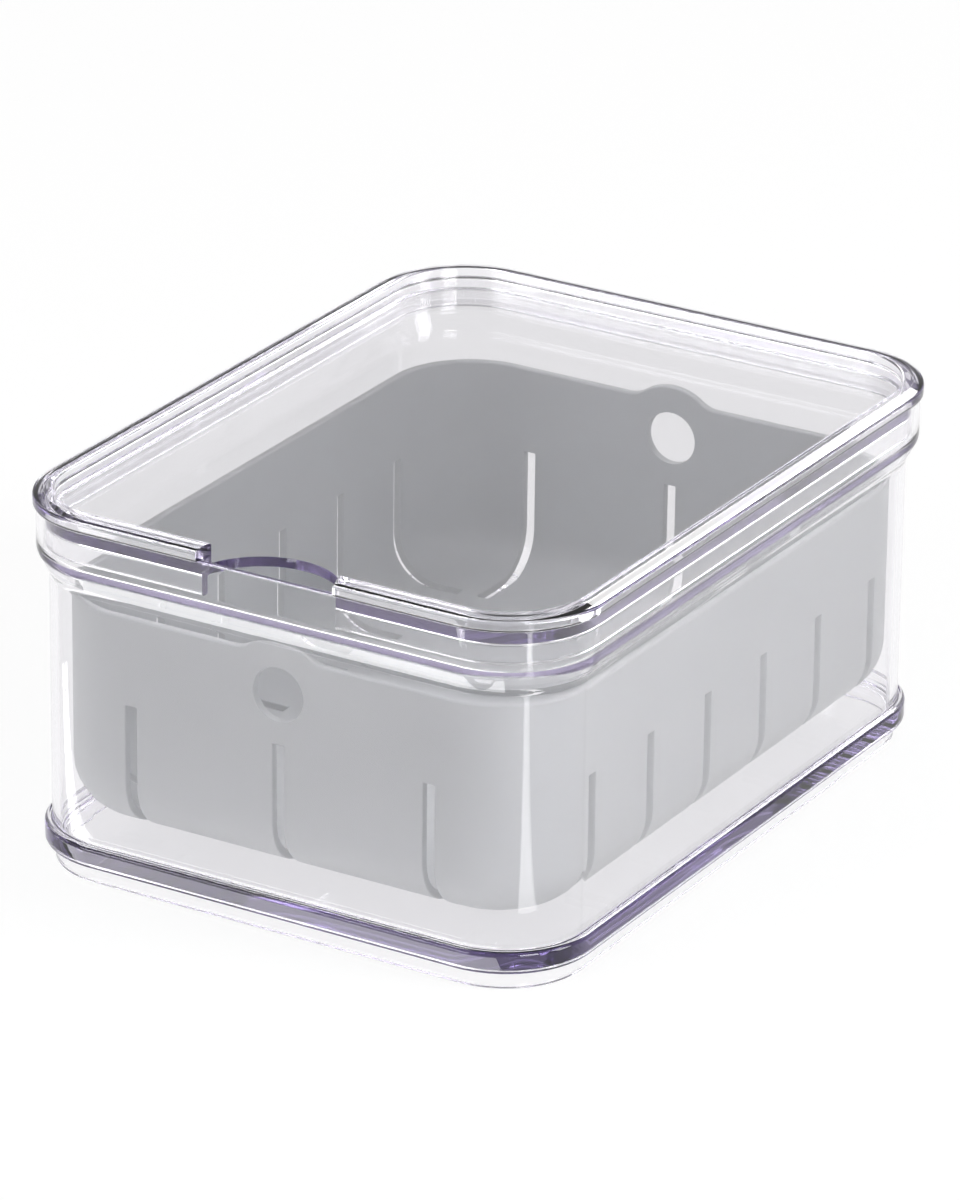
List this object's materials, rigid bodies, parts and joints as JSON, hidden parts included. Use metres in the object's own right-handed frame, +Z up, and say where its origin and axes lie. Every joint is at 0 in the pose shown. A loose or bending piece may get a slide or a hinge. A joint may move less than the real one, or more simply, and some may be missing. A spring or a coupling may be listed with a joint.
{
  "type": "fridge bin",
  "caption": "Clear stackable fridge bin with a clear lid that has a finger notch, and a slotted colander basket standing inside.",
  "frame": {"origin": "centre of the footprint, on the plane the stacking foot rests on", "axes": "+X across the width, +Y from the finger notch at the front to the back along the depth, +Z up"},
  "size_m": [0.1606, 0.2114, 0.1006],
  "materials": {
    "clear_bin": "clear moulded plastic, polished",
    "clear_lid": "clear moulded plastic, polished",
    "grey_basket": "satin moulded plastic"
  },
  "bodies": {
    "bin": {"bin": "clear_bin"},
    "basket": {"basket": "grey_basket"},
    "lid": {"lid": "clear_lid"}
  },
  "joints": [
    {"name": "basket_lift", "type": "slide", "parent": "bin", "child": "basket", "axis": [0, 0, 1], "range_m": [0, 0.11]},
    {"name": "lid_lift", "type": "slide", "parent": "basket", "child": "lid", "axis": [0, 0, 1], "range_m": [0, 0.05]}
  ]
}
